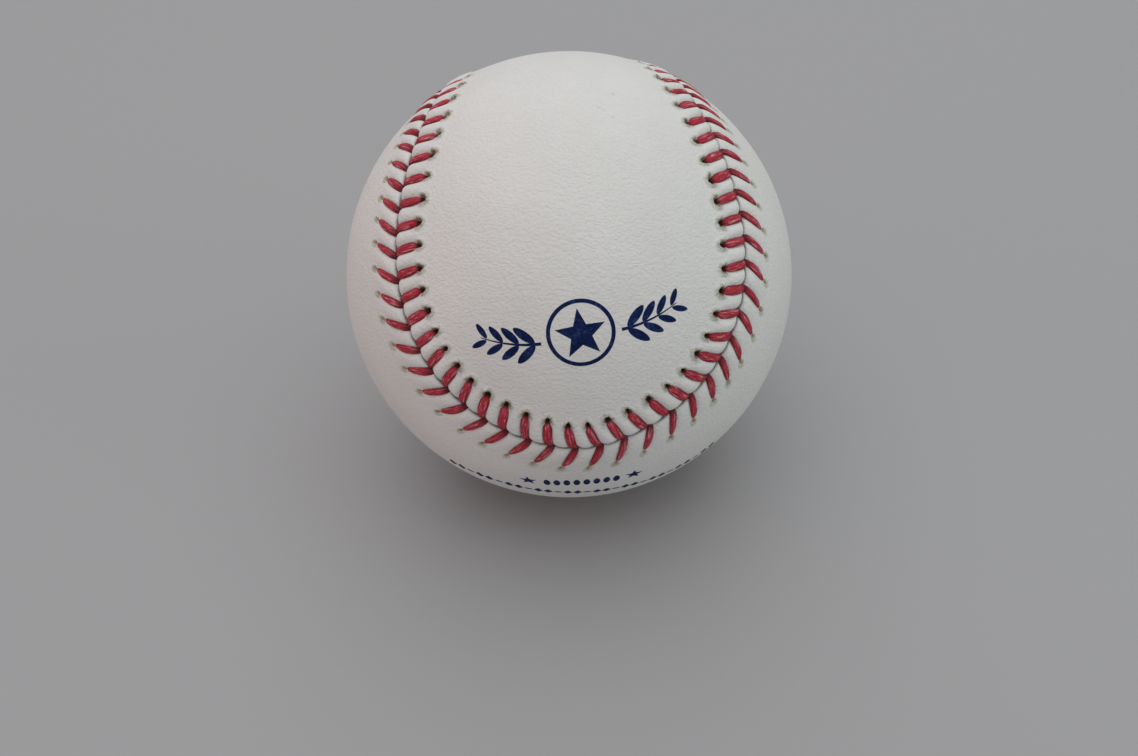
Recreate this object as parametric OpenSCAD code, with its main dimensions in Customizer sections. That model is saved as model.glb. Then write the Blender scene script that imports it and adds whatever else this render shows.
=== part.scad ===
// Baseball: a rubber-coated cork pill, four yarn windings and a two-panel
// leather cover sewn with red thread. Millimetres, +Z up, origin at the centre.
// The front lobe of the cover leans up and forward, towards -Y.

/* [Pill] */
// Diameter of the cork ball at the centre
cork_d = 20.6; // [18:0.1:24]
// Wall of the two black rubber half shells
black_wall = 4; // [3:0.1:5]
// Thickness of the rubber washer between the half shells
washer_t = 0.8; // [0.4:0.1:1.6]
// Wall of the red rubber layer moulded over them
red_wall = 2.4; // [1.6:0.1:3.2]

/* [Windings] */
// Wall of the thick four-ply grey wool winding
inner_wool_wall = 14.65; // [12:0.05:16]
// Wall of the three-ply white wool winding
white_wool_wall = 1.75; // [1:0.05:2.5]
// Wall of the three-ply grey wool winding
outer_wool_wall = 2.25; // [1.5:0.05:3]
// Wall of the fine cotton finishing yarn
finish_wall = 0.5; // [0.3:0.05:0.8]

/* [Cover] */
// Thickness of the leather
leather_t = 1.27; // [1:0.01:1.6]
// Gap between the edges of the two panels
seam_gap = 0.16; // [0.1:0.02:0.3]
// Angle from the middle of a panel's neck to its edge
neck_angle = 24.8; // [23:0.1:27]
// How far the seam swings sideways on its way between two lobes
swing_angle = 20.3; // [18:0.1:22]
// Height of the front lobe's middle above the horizon
lobe_lift = 57; // [40:1:70]

/* [Stitching] */
// Number of V stitches around the seam
stitch_count = 108; // [100:2:112]
// Diameter of the waxed thread
thread_d = 0.8; // [0.6:0.05:0.85]
// Distance from the seam to each row of awl holes
hole_inset = 4.8; // [4:0.1:5.4]

/* [Hidden] */
// Clearances
layer_gap = 0.04;
thread_play = 0.05;
thread_lift = 0.03;

// Places along the seam as shares of one stitch: where the leg of the first
// and of the second panel goes down into the seam, and where each comes up
dive_shares = [0.06, 0.34];
hole_shares = [-0.21, -0.31];
// Slow drift of the stitches along the seam, two waves and four waves a turn
drift_shares = [-0.24, -0.15, 0.10, -0.16];
drift_waves = [2, 2, 4, 4];
phase_share = 0.474;

// Resolution
seam_ribs = 108;
rib_steps = 6;
table_steps = 1440;
cap_share = 1.1;
knuckle_share = 1.06;
ball_fn = 120;
thread_fn = 24;

// Radii from the centre outwards
cork_r = cork_d / 2;
black_r = cork_r + black_wall;
red_r = black_r + red_wall;
inner_wool_r = red_r + inner_wool_wall;
white_wool_r = inner_wool_r + white_wool_wall;
outer_wool_r = white_wool_r + outer_wool_wall;
finish_r = outer_wool_r + finish_wall;
ball_r = finish_r + leather_t;

// Thread sizes that follow from its diameter
thread_r = thread_d / 2;
knuckle_r = thread_r * knuckle_share;
awl_r = thread_r + thread_play;
ride_r = ball_r + thread_lift + thread_r;

function unit(v) = v / norm(v);

// A point of the seam on the unit ball, for a turn of 0 to 720 degrees
function seam_point(turn) =
    let (polar = 90 - (90 - neck_angle) * cos(turn),
         around = turn / 2 + swing_angle * sin(2 * turn))
    [sin(polar) * cos(around), sin(polar) * sin(around), cos(polar)];

// A point beside the seam, off millimetres towards the first panel
function beside(turn, off) =
    let (p = seam_point(turn),
         ahead = seam_point(turn + 1) - seam_point(turn - 1),
         side = unit(cross(p, ahead)),
         swept = off / ball_r * 180 / PI)
    p * cos(swept) + side * sin(swept);

// Seam length on the unit ball against turn, for places along the seam
turn_step = 720 / table_steps;
seam_table = [for (i = 0, run = 0; i <= table_steps;
                   run = run + norm(seam_point((i + 1) * turn_step) - seam_point(i * turn_step)),
                   i = i + 1) [run, i * turn_step]];

// Distance from one stitch to the next
pitch = seam_table[table_steps][0] * ball_r / stitch_count;

function wrap(run, whole) = run - whole * floor(run / whole);

function turn_at(run_mm) = lookup(wrap(run_mm / ball_r, seam_table[table_steps][0]), seam_table);

// Where stitch k lies along the seam
function stitch_run(k) =
    let (even = (k + phase_share) / stitch_count * 360)
    pitch * (k + phase_share + drift_shares[0] * sin(drift_waves[0] * even)
             + drift_shares[1] * cos(drift_waves[1] * even)
             + drift_shares[2] * sin(drift_waves[2] * even)
             + drift_shares[3] * cos(drift_waves[3] * even));

// Ends of one leg: side 0 lies on the first panel and side 1 on the second
function dive_point(k, side) = beside(turn_at(stitch_run(k) + dive_shares[side] * pitch), 0);

function awl_point(k, side) =
    beside(turn_at(stitch_run(k) + hole_shares[side] * pitch), (side == 0 ? 1 : -1) * hole_inset);

module as_rested() {
    rotate([-lobe_lift, 0, 0]) rotate([0, 0, 180]) children();
}

module shell(outer, inner) {
    difference() {
        sphere(r = outer, $fn = ball_fn);
        sphere(r = inner, $fn = ball_fn);
    }
}

module half_space(reach) {
    translate([-reach, -reach, 0]) cube([2 * reach, 2 * reach, reach]);
}

module black_half() {
    color("dimgray")
    intersection() {
        shell(black_r, cork_r + layer_gap);
        translate([0, 0, washer_t / 2 + layer_gap]) half_space(red_r);
    }
}

module washer() {
    color("firebrick")
    intersection() {
        shell(black_r, cork_r + layer_gap);
        translate([0, 0, -washer_t / 2]) cylinder(r = red_r, h = washer_t, $fn = ball_fn);
    }
}

// Wedge from the centre through the first panel's outline, past the ball
module panel_wedge() {
    cap_r = ball_r * cap_share;
    turns = [for (i = [1 : seam_ribs - 1]) -180 + 360 * i / seam_ribs];
    tips = [for (t = [-180, 180]) cap_r * beside(t, seam_gap / 2)];
    ribs = [for (t = turns)
        let (p = beside(t, seam_gap / 2), lat = asin(p[0]), flat = unit([0, p[1], p[2]]))
        for (j = [0 : rib_steps])
            let (here = lat * (1 - 2 * j / rib_steps))
            cap_r * [sin(here), flat[1] * cos(here), flat[2] * cos(here)]];
    row = rib_steps + 1;
    last = seam_ribs - 2;
    first_tip = len(ribs) + 1;
    last_tip = len(ribs) + 2;
    function at(i, j) = 1 + i * row + j;
    faces = concat(
        [for (i = [0 : last - 1], j = [0 : rib_steps - 1]) [at(i, j), at(i, j + 1), at(i + 1, j)]],
        [for (i = [0 : last - 1], j = [0 : rib_steps - 1]) [at(i, j + 1), at(i + 1, j + 1), at(i + 1, j)]],
        [for (j = [0 : rib_steps - 1]) [first_tip, at(0, j + 1), at(0, j)]],
        [for (j = [0 : rib_steps - 1]) [last_tip, at(last, j), at(last, j + 1)]],
        [for (i = [0 : last - 1]) [0, at(i, 0), at(i + 1, 0)]],
        [for (i = [0 : last - 1]) [0, at(i + 1, rib_steps), at(i, rib_steps)]],
        [[0, first_tip, at(0, 0)], [0, at(0, rib_steps), first_tip],
         [0, at(last, 0), last_tip], [0, last_tip, at(last, rib_steps)]]);
    polyhedron(points = concat([[0, 0, 0]], ribs, tips), faces = faces);
}

// Turns the local +Z to the middle between two points of the ball, +X along them
module between(p, q) {
    up = unit(p + q);
    along = unit(q - p);
    across = cross(up, along);
    multmatrix([[along[0], across[0], up[0], 0],
                [along[1], across[1], up[1], 0],
                [along[2], across[2], up[2], 0],
                [0, 0, 0, 1]]) children();
}

// One leg of thread: up through its awl hole, over the leather, down into the seam
module leg(p, q) {
    half = ball_r * norm(q - p) / 2;
    foot = ball_r - leather_t;
    between(p, q) {
        translate([-half, 0, ride_r])
            rotate([0, 90, 0]) cylinder(r = thread_r, h = 2 * half, $fn = thread_fn);
        for (x = [-half, half]) {
            translate([x, 0, ride_r]) sphere(r = knuckle_r, $fn = thread_fn);
            translate([x, 0, foot]) cylinder(r = thread_r, h = ride_r - foot, $fn = thread_fn);
        }
    }
}

// The two holes that one leg needs in the leather
module leg_holes(p, q) {
    half = ball_r * norm(q - p) / 2;
    low = finish_r - leather_t;
    between(p, q) {
        for (x = [-half, half]) {
            translate([x, 0, low]) cylinder(r = awl_r, h = 3 * leather_t, $fn = thread_fn);
        }
    }
}

module stitch_holes() {
    for (k = [0 : stitch_count - 1], side = [0, 1]) {
        leg_holes(dive_point(k, side), awl_point(k, side));
    }
}

// Every second leg on each panel belongs to the same thread
module thread(first) {
    color("crimson")
    as_rested()
    for (k = [0 : stitch_count - 1]) {
        side = (k + first) % 2;
        leg(dive_point(k, side), awl_point(k, side));
    }
}

module cork_core() {
    color("peru") sphere(r = cork_r, $fn = ball_fn);
}

module black_rubber_upper() {
    black_half();
}

module black_rubber_lower() {
    mirror([0, 0, 1]) black_half();
}

module rubber_washer() {
    washer();
}

module red_rubber_layer() {
    color("indianred") shell(red_r, black_r + layer_gap);
}

module grey_wool_inner() {
    color("gray") shell(inner_wool_r, red_r + layer_gap);
}

module white_wool_middle() {
    color("whitesmoke") shell(white_wool_r, inner_wool_r + layer_gap);
}

module grey_wool_outer() {
    color("darkgray") shell(outer_wool_r, white_wool_r + layer_gap);
}

module cotton_finish() {
    color("ivory") shell(finish_r, outer_wool_r + layer_gap);
}

module cover_front() {
    color("white")
    as_rested()
    difference() {
        intersection() {
            shell(ball_r, finish_r + layer_gap);
            panel_wedge();
        }
        stitch_holes();
    }
}

module cover_sides() {
    color("gainsboro")
    as_rested()
    difference() {
        intersection() {
            shell(ball_r, finish_r + layer_gap);
            rotate(a = 180, v = [1, 1, 0]) panel_wedge();
        }
        stitch_holes();
    }
}

module red_thread_one() {
    thread(0);
}

module red_thread_two() {
    thread(1);
}

cork_core();
black_rubber_upper();
black_rubber_lower();
rubber_washer();
red_rubber_layer();
grey_wool_inner();
white_wool_middle();
grey_wool_outer();
cotton_finish();
cover_front();
cover_sides();
red_thread_one();
red_thread_two();
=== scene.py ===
import math
import bpy
import bmesh
import numpy as np
from mathutils import Matrix, Vector
from mathutils.geometry import delaunay_2d_cdt


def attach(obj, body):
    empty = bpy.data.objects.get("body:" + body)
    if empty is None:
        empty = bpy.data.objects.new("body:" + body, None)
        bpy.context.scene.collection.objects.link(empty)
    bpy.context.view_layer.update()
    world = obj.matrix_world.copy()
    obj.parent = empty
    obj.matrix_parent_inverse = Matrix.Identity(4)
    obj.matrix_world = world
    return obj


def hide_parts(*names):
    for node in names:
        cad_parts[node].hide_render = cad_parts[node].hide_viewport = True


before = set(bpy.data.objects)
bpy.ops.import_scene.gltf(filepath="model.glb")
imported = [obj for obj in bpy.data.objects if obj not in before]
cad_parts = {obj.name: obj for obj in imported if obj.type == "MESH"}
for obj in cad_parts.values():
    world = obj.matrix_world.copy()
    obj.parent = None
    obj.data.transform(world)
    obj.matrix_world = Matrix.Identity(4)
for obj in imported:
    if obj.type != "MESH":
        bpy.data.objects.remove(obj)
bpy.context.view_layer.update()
scene = bpy.context.scene
mm = 0.001
tiny = 1e-9

# The ball and its seam, with the CAD's own numbers
ball = {
    "radius": 37.12 * mm,
    "leatherThick": 1.27 * mm,
    "fleshGap": 0.05 * mm,  # the CAD has 0.04
    "lobeLift": 57,
}
seam = {
    "neckAngle": 24.8,
    "swingAngle": 20.3,
    "tableSteps": 7200,
    "tangentTurn": 0.05,
    "searchStride": 5,
    "searchBatch": 1500,
}
stitch = {
    "count": 108,
    "phaseShare": 0.474,
    "driftShares": (-0.24, -0.15, 0.10, -0.16),
    "driftWaves": (2, 2, 4, 4),
    "holeInset": 4.8 * mm,
    "spare": 8,
    "seed": 11,
}


def seamPoint(turn):
    t = np.radians(turn)
    polar = np.radians(90 - (90 - seam["neckAngle"]) * np.cos(t))
    around = t / 2 + np.radians(seam["swingAngle"] * np.sin(2 * t))
    return np.stack([np.sin(polar) * np.cos(around), np.sin(polar) * np.sin(around), np.cos(polar)], -1)


def unit(v):
    return v / np.linalg.norm(v, axis=-1, keepdims=True)


# A table of the seam: its points, its length so far, and the direction towards the front panel
turns = np.linspace(0, 720, seam["tableSteps"] + 1)
seamPoints = seamPoint(turns)
seamSteps = np.linalg.norm(np.diff(seamPoints, axis=0), axis=1)
seamRuns = np.concatenate([[0], np.cumsum(seamSteps)]) * ball["radius"]
seamAhead = seamPoint(turns + seam["tangentTurn"]) - seamPoint(turns - seam["tangentTurn"])
seamSides = unit(np.cross(seamPoints, seamAhead))
seamLength = seamRuns[-1]
pitch = seamLength / stitch["count"]


def beside(run, off):
    # Unit directions beside the seam: run along it, off towards the front panel, both in metres
    r = np.mod(run, seamLength)
    p = unit(np.stack([np.interp(r, seamRuns, seamPoints[:, i]) for i in range(3)], -1))
    side = np.stack([np.interp(r, seamRuns, seamSides[:, i]) for i in range(3)], -1)
    side = unit(side - p * (side * p).sum(-1, keepdims=True))
    swept = (off / ball["radius"])[..., None]
    return p * np.cos(swept) + side * np.sin(swept)


def stitchRun(k):
    # Where stitch k lies along the seam, with the slow drift of the real ones
    even = (k + stitch["phaseShare"]) / stitch["count"] * math.tau
    drift = sum(share * wave(n * even) for share, wave, n in
                zip(stitch["driftShares"], (np.sin, np.cos, np.sin, np.cos), stitch["driftWaves"]))
    return pitch * (k + stitch["phaseShare"] + drift)


restTurn = Matrix.Rotation(math.radians(-ball["lobeLift"]), 3, "X") @ Matrix.Rotation(math.pi, 3, "Z")


def towardsRest(points):
    # From the seam's axes to the ball as it sits
    return points @ np.array(restTurn).T


def smoothCurve(x, xs, ys):
    # A soft curve through the listed points
    xs, ys = np.array(xs, float), np.array(ys, float)
    slopes = np.gradient(ys, xs)
    i = np.clip(np.searchsorted(xs, x) - 1, 0, len(xs) - 2)
    step = xs[i + 1] - xs[i]
    t = np.clip((x - xs[i]) / step, 0, 1)
    return ((1 + 2 * t) * (1 - t) ** 2 * ys[i] + t * (1 - t) ** 2 * step * slopes[i]
            + t * t * (3 - 2 * t) * ys[i + 1] + t * t * (t - 1) * step * slopes[i + 1])


def smoothStep(low, high, x):
    t = np.clip((x - low) / (high - low), 0, 1)
    return t * t * (3 - 2 * t)


# Large odd numbers that scatter the corners of the noise
scatter = {"axes": (73856093, 19349663, 83492791), "seed": 2654435761, "mix": 1274126177, "levels": 65535}


def lattice(points, seed):
    # Repeatable noise from -1 to 1 on an array of points
    cell = np.floor(points).astype(np.int64)
    part = points - cell
    part = part * part * (3 - 2 * part)
    total = np.zeros(points.shape[:-1])
    for corner in np.ndindex(2, 2, 2):
        x, y, z = np.moveaxis((cell + np.array(corner)) * np.array(scatter["axes"]), -1, 0)
        mixed = x ^ y ^ z ^ (seed * scatter["seed"])
        mixed = (mixed ^ (mixed >> 13)) * scatter["mix"]
        value = ((mixed ^ (mixed >> 16)) & scatter["levels"]) / (scatter["levels"] / 2) - 1
        total += value * np.prod(np.where(np.array(corner), part, 1 - part), axis=-1)
    return total


def layeredNoise(points, layers):
    # Each layer has a size in millimetres, a seed and a share
    return sum(lattice(points / (size * mm), seed) * share for size, seed, share in layers)


# Each leg differs a little, as in hand sewing: millimetres for the first three, then shares
sewing = {
    "shift": 0.08,
    "startShift": (0.06, 0.09),
    "reach": 0.14,
    "wide": (0.93, 1.08),
    "puff": (0.75, 1.2),
    "hole": (0.8, 1.3),
}
rng = np.random.default_rng(stitch["seed"])
everyLeg = (2, stitch["count"])
legShift = rng.uniform(-sewing["shift"], sewing["shift"], everyLeg)
startShift = rng.uniform(-1, 1, everyLeg) * np.array(sewing["startShift"])[:, None]
legReach = rng.uniform(-sewing["reach"], sewing["reach"], everyLeg) * mm
legWide = rng.uniform(*sewing["wide"], everyLeg)
puffHigh = rng.uniform(*sewing["puff"], everyLeg)
holeWide = rng.uniform(*sewing["hole"], everyLeg)

# How the legs lie, in millimetres at places along each lobe of the cover: how far ahead they lean on each
# panel, and where the side legs start. Then, at distances from the seam, how far they hook ahead and what
# share of the lean they have reached: front panel, then side panel
lean = {
    "places": (0, 30, 36, 44, 52, 60, 70, 80, 90, 97, 104,
               112, 120, 128, 134, 142, 150, 158, 165, 180, 199.4),
    "front": (-0.5, 0.4, 0.2, 0.0, -0.1, -0.25, -0.32, -0.5, -0.75, -0.85, -0.5,
              -0.38, -0.65, -1.0, -0.75, -0.5, -0.5, -0.85, -1.2, -0.8, -0.5),
    "side": (-1.15, -1.8, -1.6, -1.5, -1.4, -1.3, -1.15, -1.1, -0.85, -0.75, -1.25,
             -1.3, -0.9, -1.12, -1.25, -1.2, -1.05, -0.5, -0.4, -0.8, -1.15),
    "sideStart": (0.6, 1.3, 0.95, 0.45, 0.3, 0.62, 0.68, 0.8, 0.85, 0.5, 0.15,
                  0.85, 0.75, -0.1, -0.1, 0.5, 0.7, 0.9, 0.7, 0.6, 0.6),
    "hookOff": (-0.5, 0.0, 1.0, 2.0, 3.0, 4.4, 6.5),
    "hook": ((0.50, 0.48, 0.33, 0.30, 0.27, 0.11, 0.0), (0.18, 0.16, 0.12, 0.10, 0.09, 0.06, 0.0)),
    "shareOff": ((-1.0, 0.0, 0.95, 1.8, 2.7, 3.6, 4.8, 6.5), (-1.0, 0.0, 0.95, 1.8, 2.7, 3.6, 4.9, 6.5)),
    "share": ((-1.13, -0.55, 0.0, 0.40, 0.74, 1.0, 1.26, 1.53),
              (-0.84, -0.41, 0.0, 0.32, 0.65, 1.0, 1.50, 2.05)),
}
lobeRun = np.mod(stitchRun(np.arange(stitch["count"])), seamLength / 2) / mm
leans = [np.interp(lobeRun, lean["places"], lean[panel]) for panel in ("front", "side")]
legLean = np.array(leans) + legShift
sideStart = np.interp(lobeRun, lean["places"], lean["sideStart"])
legStart = np.array([np.zeros(stitch["count"]), sideStart]) + startShift


def leanShare(side, off):
    return smoothCurve(off / mm, lean["shareOff"][side], lean["share"][side])


def legAhead(side, which, off):
    # How far ahead of its stitch a leg runs at a distance from the seam
    hook = smoothCurve(off / mm, lean["hookOff"], lean["hook"][side])
    return (legStart[side][which] + hook + legLean[side][which] * leanShare(side, off)) * mm


stitchNumbers = np.arange(-stitch["spare"], stitch["count"] + stitch["spare"] + 1)
stitchRuns = stitchRun(stitchNumbers)


def nearestLeg(side, run, off):
    # For places beside the seam: the nearest leg, the signed distance from it, the gap there and its width
    here = np.mod(run, seamLength)
    typical = (legStart[side].mean() + legLean[side].mean() * leanShare(side, off)) * mm
    guess = np.rint(np.interp(here - typical, stitchRuns, stitchNumbers)).astype(int)
    tries = guess + np.arange(-2, 3).reshape((5,) + (1,) * guess.ndim)
    gaps = here - stitchRun(tries) - legAhead(side, np.mod(tries, stitch["count"]), off)
    best = np.abs(gaps[1:4]).argmin(0) + 1
    away = np.take_along_axis(gaps, best[None], 0)[0]
    neighbour = best + np.where(away >= 0, 1, -1)
    beyond = np.take_along_axis(gaps, neighbour[None], 0)[0]
    nearest = np.take_along_axis(tries, best[None], 0)[0]
    gap = np.where(away >= 0, nearest, nearest - 1)
    return np.mod(nearest, stitch["count"]), away, np.mod(gap, stitch["count"]), np.abs(away - beyond)


def addObject(name, data):
    made = bpy.data.objects.new(name, data)
    scene.collection.objects.link(made)
    return made


def faceOutwards(mesh):
    bm = bmesh.new()
    bm.from_mesh(mesh)
    bmesh.ops.recalc_face_normals(bm, faces=bm.faces)
    bm.to_mesh(mesh)
    bm.free()


# Leather cover, in millimetres: rows beside the seam, puffs between the legs, furrows under them, and holes.
# Pairs are for the front and the side panel, and noises have a size, a seed and a share
leather = {
    "columns": 2016,
    "rows": (0.04, 0.10, 0.18, 0.29, 0.43, 0.60, 0.82, 1.08, 1.4, 1.75, 2.1, 2.45, 2.8, 3.1, 3.4, 3.65, 3.85,
             4.02, 4.18, 4.34, 4.50, 4.66, 4.82, 4.98, 5.14, 5.30, 5.48, 5.70, 6.0, 6.4, 6.95, 7.6, 8.3),
    "crestOff": (0, 0.12, 0.3, 0.55, 0.9, 1.4, 2.2, 3.2, 4.2, 5.2, 6.4, 8.3),
    "crestHigh": ((-1.05, -0.58, -0.14, 0.18, 0.39, 0.53, 0.57, 0.50, 0.36, 0.19, 0.05, 0),
                  (-1.05, -0.60, -0.20, 0.06, 0.20, 0.29, 0.32, 0.27, 0.18, 0.09, 0.02, 0)),
    "furrowHigh": ((-1.08, -0.88, -0.62, -0.46, -0.34, -0.28, -0.25, -0.25, -0.26, -0.12, -0.03, 0),
                   (-1.08, -0.88, -0.60, -0.42, -0.30, -0.22, -0.19, -0.18, -0.16, -0.08, -0.02, 0)),
    "furrowOff": (0, 1.5, 2.7, 3.8, 4.8, 5.6, 8.3),
    "furrowHalf": ((0.30, 0.46, 0.50, 0.52, 0.42, 0.12, 0.0),
                   (0.28, 0.40, 0.38, 0.26, 0.18, 0.10, 0.0)),
    "puffPower": 2.3,
    "holeOff": (4.98, 5.42),
    "holeDeep": (0.75, 0.28),
    "holeLong": (0.70, 0.48),
    "holeWide": (0.50, 0.27),
    "holeEdge": (0.6, 1.12),
    "holeFlat": 0.6,
    "rimHigh": (0.22, 0.06),
    "rimAt": 1.55,
    "rimHalf": 0.40,
    "rimFrom": (-0.7, 0.3),
    "ragged": ((0.36, 3, 0.55), (0.19, 4, 0.35)),
    "raggedHole": 0.42,
    "raggedRim": 1.3,
    "slopeStep": 0.4,
    "idSteps": (3.1, 500.0),
    "swells": ((13, 21, 1.0), (6, 22, 0.5)),
    "swellHigh": 0.05,
    "middleSplits": 6,
    "middleGap": 0.5,
    "fleshSplits": 5,
    "fleshFrom": 1.5,
    "farAway": 9.0,
}


def leatherRelief(side, run, off, points):
    # Height in metres, and the place in its stitch hole: across and along, 1 at the rim, and a number
    which, away, gap, gapWide = nearestLeg(side, run, off)
    o, a = off / mm, away / mm
    held = np.interp(o, leather["furrowOff"], leather["furrowHalf"][side])
    rise = np.clip((np.abs(a) - held) / (gapWide / mm / 2 - held), 0, 1)
    puff = 1 - (1 - rise) ** leather["puffPower"]
    crest = smoothCurve(o, leather["crestOff"], leather["crestHigh"][side])
    crest = np.where(crest > 0, crest * puffHigh[side][gap], crest)
    furrow = smoothCurve(o, leather["crestOff"], leather["furrowHigh"][side])
    high = furrow + (crest - furrow) * puff

    holeOff = leather["holeOff"][side] + legReach[side][which] / mm
    step = leather["slopeStep"]
    before, after = (legAhead(side, which, (holeOff + way * step) * mm) for way in (-1, 1))
    slope = (after - before) / mm / (2 * step)
    stretch = np.sqrt(1 + slope ** 2)
    across = a / stretch
    along = (o - holeOff) * stretch + across * slope
    ragged = layeredNoise(points, leather["ragged"])
    long, wide = leather["holeLong"][side], leather["holeWide"][side] * holeWide[side][which]
    far = np.sqrt((along / long) ** 2 + (across / wide) ** 2)
    hole = 1 - smoothStep(*leather["holeEdge"], far + leather["raggedHole"] * ragged)
    rim = np.exp(-((far - leather["rimAt"]) / leather["rimHalf"]) ** 2) * (1 + leather["raggedRim"] * ragged)
    rim = rim * leather["rimHigh"][side] * smoothStep(*leather["rimFrom"], along)
    high = high * (1 - leather["holeFlat"] * hole) - leather["holeDeep"][side] * hole + rim
    legStep, panelStep = leather["idSteps"]
    spot = np.stack([np.abs(across) / wide, along / long, which * legStep + side * panelStep], -1)
    return high * mm, spot


def swell(directions):
    # The cover isn't a perfect ball: slow swells of a few hundredths of a millimetre
    return layeredNoise(directions * ball["radius"], leather["swells"]) * leather["swellHigh"] * mm


def seamDistance(directions):
    # Distance from the seam along the ball, positive on the front panel
    out = np.zeros(len(directions))
    stride, batch = seam["searchStride"], seam["searchBatch"]
    for start in range(0, len(directions), batch):
        part = directions[start:start + batch]
        nearest = (part @ seamPoints[:-1:stride].T).argmax(1) * stride
        sine = (part * seamSides[nearest]).sum(1)
        out[start:start + batch] = np.arcsin(np.clip(sine, -1, 1)) * ball["radius"]
    return out


def panelPoints(side, splits, gap):
    # Even directions over one panel that keep a gap in millimetres from the seam
    bm = bmesh.new()
    bmesh.ops.create_icosphere(bm, subdivisions=splits, radius=1)
    loose = unit(np.array([v.co for v in bm.verts]))
    bm.free()
    away = seamDistance(loose) * (1 if side == 0 else -1)
    return loose[away > gap * mm]


def fillPanel(ring, loose, side):
    # Triangles between a closed ring of directions and loose ones within it, on the ball
    points = np.concatenate([ring, loose])
    pole = 1 if side == 0 else -1
    flat = points[:, :2] / (1 + pole * points[:, 2:3])
    edges = [(i, (i + 1) % len(ring)) for i in range(len(ring))]
    found = delaunay_2d_cdt([Vector(p) for p in flat], edges, [], 1, tiny)
    origin = [o[0] if o else None for o in found[3]]
    faces = []
    for face in found[2]:
        corners = [origin[i] for i in face]
        a, b, c = (points[i] for i in corners[:3])
        outward = np.dot(np.cross(b - a, c - a), a + b + c) > 0
        faces.append(corners if outward else corners[::-1])
    return faces


def makeCover(name, side):
    # No operator lays rows beside a seam, so the rows, the middle and the flesh side are joined here
    columns, rows = leather["columns"], leather["rows"]
    sign = 1 if side == 0 else -1
    run = np.arange(columns) * seamLength / columns
    runs, offs = np.meshgrid(run, np.array(rows) * mm)
    strip = beside(runs, sign * offs)
    high, spot = leatherRelief(side, runs, offs, strip * ball["radius"])
    middle = panelPoints(side, leather["middleSplits"], rows[-1] + leather["middleGap"])
    fleshRing = beside(run, sign * np.full(columns, rows[0] * mm))
    flesh = panelPoints(side, leather["fleshSplits"], leather["fleshFrom"])

    fleshRadius = ball["radius"] - ball["leatherThick"] + ball["fleshGap"]
    stripCo = strip * (ball["radius"] + high + swell(strip))[..., None]
    middleCo = middle * (ball["radius"] + swell(middle))[:, None]
    points = np.concatenate([stripCo.reshape(-1, 3), middleCo, fleshRing * fleshRadius, flesh * fleshRadius])
    lastRow = (len(rows) - 1) * columns
    firstMiddle = len(rows) * columns
    firstFlesh = firstMiddle + len(middle)

    pairs = [(c, (c + 1) % columns) for c in range(columns)]
    faces = [(r + c, r + d, r + columns + d, r + columns + c)
             for r in range(0, lastRow, columns) for c, d in pairs]
    edge = [(d, c, firstFlesh + c, firstFlesh + d) for c, d in pairs]
    if side == 1:
        faces, edge = ([quad[::-1] for quad in quads] for quads in (faces, edge))
    for face in fillPanel(strip[-1], middle, side):
        faces.append([lastRow + i if i < columns else firstMiddle + i - columns for i in face])
    for face in fillPanel(fleshRing, flesh, side):
        faces.append([firstFlesh + i for i in face[::-1]])
    faces += edge

    mesh = bpy.data.meshes.new(name)
    mesh.from_pydata(towardsRest(points).tolist(), [], faces)
    spots = np.full((len(points), 3), leather["farAway"])
    spots[:firstMiddle] = spot.reshape(-1, 3)
    seamOff = np.full(len(points), leather["farAway"])
    seamOff[:firstMiddle] = (offs / mm).ravel()
    mesh.attributes.new("holeSpot", "FLOAT_VECTOR", "POINT").data.foreach_set("vector", spots.ravel())
    mesh.attributes.new("seamOff", "FLOAT", "POINT").data.foreach_set("value", seamOff)
    mesh.shade_smooth()
    return addObject(name, mesh)


# Thread: a flattened, twisted bundle of plies for each leg, in millimetres: front panel, then side panel
thread = {
    "rings": 11,
    "ringEase": 0.55,
    "off": ((-0.42, -0.1, 0.25, 0.6, 1.0, 1.8, 2.7, 3.4, 3.9, 4.25, 4.55, 4.8),
            (-0.42, -0.1, 0.25, 0.6, 1.0, 1.8, 2.7, 3.6, 4.3, 4.8, 5.1, 5.4)),
    "high": ((-1.02, -0.78, -0.34, -0.07, 0.05, 0.11, 0.11, 0.08, 0.01, -0.20, -0.72, -1.18),
             (-1.02, -0.78, -0.34, -0.07, 0.03, 0.06, 0.06, 0.03, -0.07, -0.20, -0.42, -0.80)),
    "halfWide": ((0.41, 0.49, 0.57, 0.61, 0.65, 0.70, 0.71, 0.70, 0.68, 0.63, 0.56, 0.46),
                 (0.40, 0.47, 0.54, 0.58, 0.60, 0.62, 0.59, 0.51, 0.40, 0.28, 0.19, 0.12)),
    "halfThick": ((0.26, 0.28, 0.29, 0.29, 0.29, 0.29, 0.29, 0.29, 0.29, 0.28, 0.27, 0.26),
                  (0.26, 0.28, 0.29, 0.29, 0.29, 0.28, 0.27, 0.25, 0.22, 0.18, 0.14, 0.12)),
    "hole": (4.26, 5.05),
    "plies": 4,
    "plyDeep": 0.06,
    "twist": 0.55,
    "flatPower": 0.92,
    "spins": (0.37, 0.5),
    "idSteps": (3.7, 401.3),
}
legSides = 2 * thread["plies"]  # a ridge and a groove each


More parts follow.
